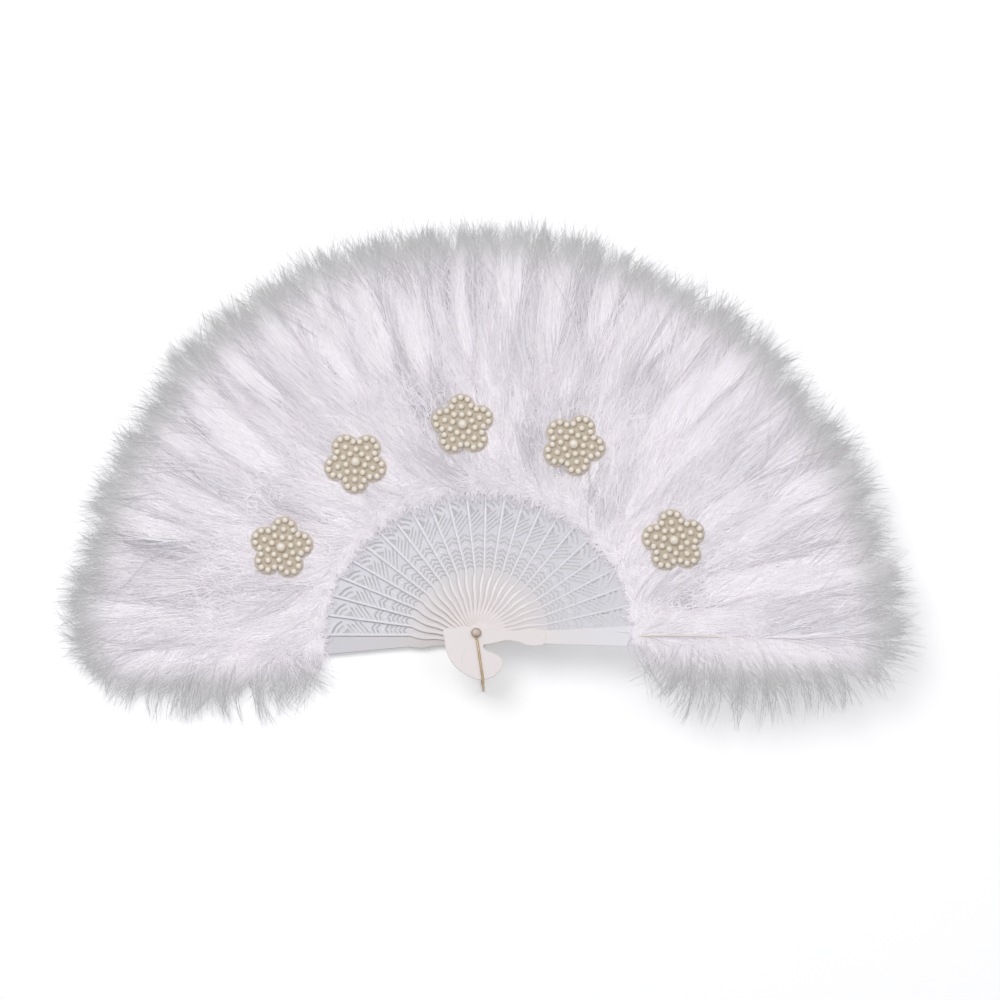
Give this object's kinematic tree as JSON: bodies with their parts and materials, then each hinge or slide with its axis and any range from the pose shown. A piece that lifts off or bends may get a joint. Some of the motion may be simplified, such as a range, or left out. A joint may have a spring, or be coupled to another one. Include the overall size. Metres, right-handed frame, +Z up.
{
  "type": "folding feather fan",
  "caption": "Folding hand fan: pierced sticks turn on a rivet with a wire tassel bail, and each stick carries a white feather, with pearl blossoms across the plumes.",
  "frame": {"origin": "on the rivet's axis, at the flat face of the rivet's lower end, the lowest plane of the open fan lying on its back", "axes": "+X towards the front guard's side of the open fan, +Y along the middle stick towards the feather tips, +Z up along the rivet towards the front"},
  "size_m": [0.3794, 0.228, 0.0265],
  "materials": {
    "stick_plastic": "moulded, soft gloss, pierced like lace",
    "guard_plastic": "moulded, soft gloss, plain",
    "feather": "fluffy white feather",
    "pearl_felt": "pearl beads on beige felt",
    "brass": "drawn brass wire and rivet, slightly dulled"
  },
  "bodies": {
    "back_guard": {"guard_back": "guard_plastic", "feather_back": "feather", "rivet": "brass"},
    "front_guard": {"guard_front": "guard_plastic", "feather_front": "feather"},
    "blade_01": {"stick_01": "stick_plastic", "feather_01": "feather"},
    "blade_02": {"stick_02": "stick_plastic", "feather_02": "feather"},
    "blade_03": {"stick_03": "stick_plastic", "feather_03": "feather", "blossom_1": "pearl_felt"},
    "blade_04": {"stick_04": "stick_plastic", "feather_04": "feather"},
    "blade_05": {"stick_05": "stick_plastic", "feather_05": "feather"},
    "blade_06": {"stick_06": "stick_plastic", "feather_06": "feather"},
    "blade_07": {"stick_07": "stick_plastic", "feather_07": "feather"},
    "blade_08": {"stick_08": "stick_plastic", "feather_08": "feather", "blossom_2": "pearl_felt"},
    "blade_09": {"stick_09": "stick_plastic", "feather_09": "feather"},
    "blade_10": {"stick_10": "stick_plastic", "feather_10": "feather"},
    "blade_11": {"stick_11": "stick_plastic", "feather_11": "feather"},
    "blade_12": {"stick_12": "stick_plastic", "feather_12": "feather", "blossom_3": "pearl_felt"},
    "blade_13": {"stick_13": "stick_plastic", "feather_13": "feather"},
    "blade_14": {"stick_14": "stick_plastic", "feather_14": "feather"},
    "blade_15": {"stick_15": "stick_plastic", "feather_15": "feather"},
    "blade_16": {"stick_16": "stick_plastic", "feather_16": "feather", "blossom_4": "pearl_felt"},
    "blade_17": {"stick_17": "stick_plastic", "feather_17": "feather"},
    "blade_18": {"stick_18": "stick_plastic", "feather_18": "feather"},
    "blade_19": {"stick_19": "stick_plastic", "feather_19": "feather"},
    "blade_20": {"stick_20": "stick_plastic", "feather_20": "feather", "blossom_5": "pearl_felt"},
    "blade_21": {"stick_21": "stick_plastic", "feather_21": "feather"},
    "blade_22": {"stick_22": "stick_plastic", "feather_22": "feather"},
    "blade_23": {"stick_23": "stick_plastic", "feather_23": "feather"},
    "bail": {"bail": "brass"}
  },
  "joints": [
    {"name": "fan_fold", "type": "hinge", "parent": "back_guard", "child": "front_guard", "pos_m": [0, 0, 0], "axis": [0, 0, 1], "range_deg": [0, 182], "deforming": ["feather_front", "feather_01", "feather_02", "feather_04", "feather_05", "feather_06", "feather_07", "feather_08", "feather_09", "feather_10", "feather_11", "feather_12", "feather_13", "feather_14", "feather_15", "feather_16", "feather_17", "feather_18", "feather_19"]},
    {"name": "blade_01_turn", "type": "hinge", "parent": "back_guard", "child": "blade_01", "pos_m": [0, 0, 0], "axis": [0, 0, 1], "range_deg": [0, 174.42]},
    {"name": "blade_02_turn", "type": "hinge", "parent": "back_guard", "child": "blade_02", "pos_m": [0, 0, 0], "axis": [0, 0, 1], "range_deg": [0, 166.84]},
    {"name": "blade_03_turn", "type": "hinge", "parent": "back_guard", "child": "blade_03", "pos_m": [0, 0, 0], "axis": [0, 0, 1], "range_deg": [0, 159.25]},
    {"name": "blade_04_turn", "type": "hinge", "parent": "back_guard", "child": "blade_04", "pos_m": [0, 0, 0], "axis": [0, 0, 1], "range_deg": [0, 151.67]},
    {"name": "blade_05_turn", "type": "hinge", "parent": "back_guard", "child": "blade_05", "pos_m": [0, 0, 0], "axis": [0, 0, 1], "range_deg": [0, 144.09]},
    {"name": "blade_06_turn", "type": "hinge", "parent": "back_guard", "child": "blade_06", "pos_m": [0, 0, 0], "axis": [0, 0, 1], "range_deg": [0, 136.5]},
    {"name": "blade_07_turn", "type": "hinge", "parent": "back_guard", "child": "blade_07", "pos_m": [0, 0, 0], "axis": [0, 0, 1], "range_deg": [0, 128.92]},
    {"name": "blade_08_turn", "type": "hinge", "parent": "back_guard", "child": "blade_08", "pos_m": [0, 0, 0], "axis": [0, 0, 1], "range_deg": [0, 121.33]},
    {"name": "blade_09_turn", "type": "hinge", "parent": "back_guard", "child": "blade_09", "pos_m": [0, 0, 0], "axis": [0, 0, 1], "range_deg": [0, 113.75]},
    {"name": "blade_10_turn", "type": "hinge", "parent": "back_guard", "child": "blade_10", "pos_m": [0, 0, 0], "axis": [0, 0, 1], "range_deg": [0, 106.17]},
    {"name": "blade_11_turn", "type": "hinge", "parent": "back_guard", "child": "blade_11", "pos_m": [0, 0, 0], "axis": [0, 0, 1], "range_deg": [0, 98.58]},
    {"name": "blade_12_turn", "type": "hinge", "parent": "back_guard", "child": "blade_12", "pos_m": [0, 0, 0], "axis": [0, 0, 1], "range_deg": [0, 91]},
    {"name": "blade_13_turn", "type": "hinge", "parent": "back_guard", "child": "blade_13", "pos_m": [0, 0, 0], "axis": [0, 0, 1], "range_deg": [0, 83.42]},
    {"name": "blade_14_turn", "type": "hinge", "parent": "back_guard", "child": "blade_14", "pos_m": [0, 0, 0], "axis": [0, 0, 1], "range_deg": [0, 75.83]},
    {"name": "blade_15_turn", "type": "hinge", "parent": "back_guard", "child": "blade_15", "pos_m": [0, 0, 0], "axis": [0, 0, 1], "range_deg": [0, 68.25]},
    {"name": "blade_16_turn", "type": "hinge", "parent": "back_guard", "child": "blade_16", "pos_m": [0, 0, 0], "axis": [0, 0, 1], "range_deg": [0, 60.67]},
    {"name": "blade_17_turn", "type": "hinge", "parent": "back_guard", "child": "blade_17", "pos_m": [0, 0, 0], "axis": [0, 0, 1], "range_deg": [0, 53.09]},
    {"name": "blade_18_turn", "type": "hinge", "parent": "back_guard", "child": "blade_18", "pos_m": [0, 0, 0], "axis": [0, 0, 1], "range_deg": [0, 45.5]},
    {"name": "blade_19_turn", "type": "hinge", "parent": "back_guard", "child": "blade_19", "pos_m": [0, 0, 0], "axis": [0, 0, 1], "range_deg": [0, 37.92]},
    {"name": "blade_20_turn", "type": "hinge", "parent": "back_guard", "child": "blade_20", "pos_m": [0, 0, 0], "axis": [0, 0, 1], "range_deg": [0, 30.34]},
    {"name": "blade_21_turn", "type": "hinge", "parent": "back_guard", "child": "blade_21", "pos_m": [0, 0, 0], "axis": [0, 0, 1], "range_deg": [0, 22.75]},
    {"name": "blade_22_turn", "type": "hinge", "parent": "back_guard", "child": "blade_22", "pos_m": [0, 0, 0], "axis": [0, 0, 1], "range_deg": [0, 15.17]},
    {"name": "blade_23_turn", "type": "hinge", "parent": "back_guard", "child": "blade_23", "pos_m": [0, 0, 0], "axis": [0, 0, 1], "range_deg": [0, 7.58]},
    {"name": "bail_swing", "type": "hinge", "parent": "back_guard", "child": "bail", "pos_m": [0, 0, 0], "axis": [0, 0, 1], "range_deg": [-75, 60]}
  ],
  "couplings": [
    {"joint": "blade_01_turn", "follows": "fan_fold", "ratio": 0.95833},
    {"joint": "blade_02_turn", "follows": "fan_fold", "ratio": 0.91667},
    {"joint": "blade_03_turn", "follows": "fan_fold", "ratio": 0.875},
    {"joint": "blade_04_turn", "follows": "fan_fold", "ratio": 0.83333},
    {"joint": "blade_05_turn", "follows": "fan_fold", "ratio": 0.79167},
    {"joint": "blade_06_turn", "follows": "fan_fold", "ratio": 0.75},
    {"joint": "blade_07_turn", "follows": "fan_fold", "ratio": 0.70833},
    {"joint": "blade_08_turn", "follows": "fan_fold", "ratio": 0.66667},
    {"joint": "blade_09_turn", "follows": "fan_fold", "ratio": 0.625},
    {"joint": "blade_10_turn", "follows": "fan_fold", "ratio": 0.58333},
    {"joint": "blade_11_turn", "follows": "fan_fold", "ratio": 0.54167},
    {"joint": "blade_12_turn", "follows": "fan_fold", "ratio": 0.5},
    {"joint": "blade_13_turn", "follows": "fan_fold", "ratio": 0.45833},
    {"joint": "blade_14_turn", "follows": "fan_fold", "ratio": 0.41667},
    {"joint": "blade_15_turn", "follows": "fan_fold", "ratio": 0.375},
    {"joint": "blade_16_turn", "follows": "fan_fold", "ratio": 0.33333},
    {"joint": "blade_17_turn", "follows": "fan_fold", "ratio": 0.29167},
    {"joint": "blade_18_turn", "follows": "fan_fold", "ratio": 0.25},
    {"joint": "blade_19_turn", "follows": "fan_fold", "ratio": 0.20833},
    {"joint": "blade_20_turn", "follows": "fan_fold", "ratio": 0.16667},
    {"joint": "blade_21_turn", "follows": "fan_fold", "ratio": 0.125},
    {"joint": "blade_22_turn", "follows": "fan_fold", "ratio": 0.083333},
    {"joint": "blade_23_turn", "follows": "fan_fold", "ratio": 0.041667}
  ]
}
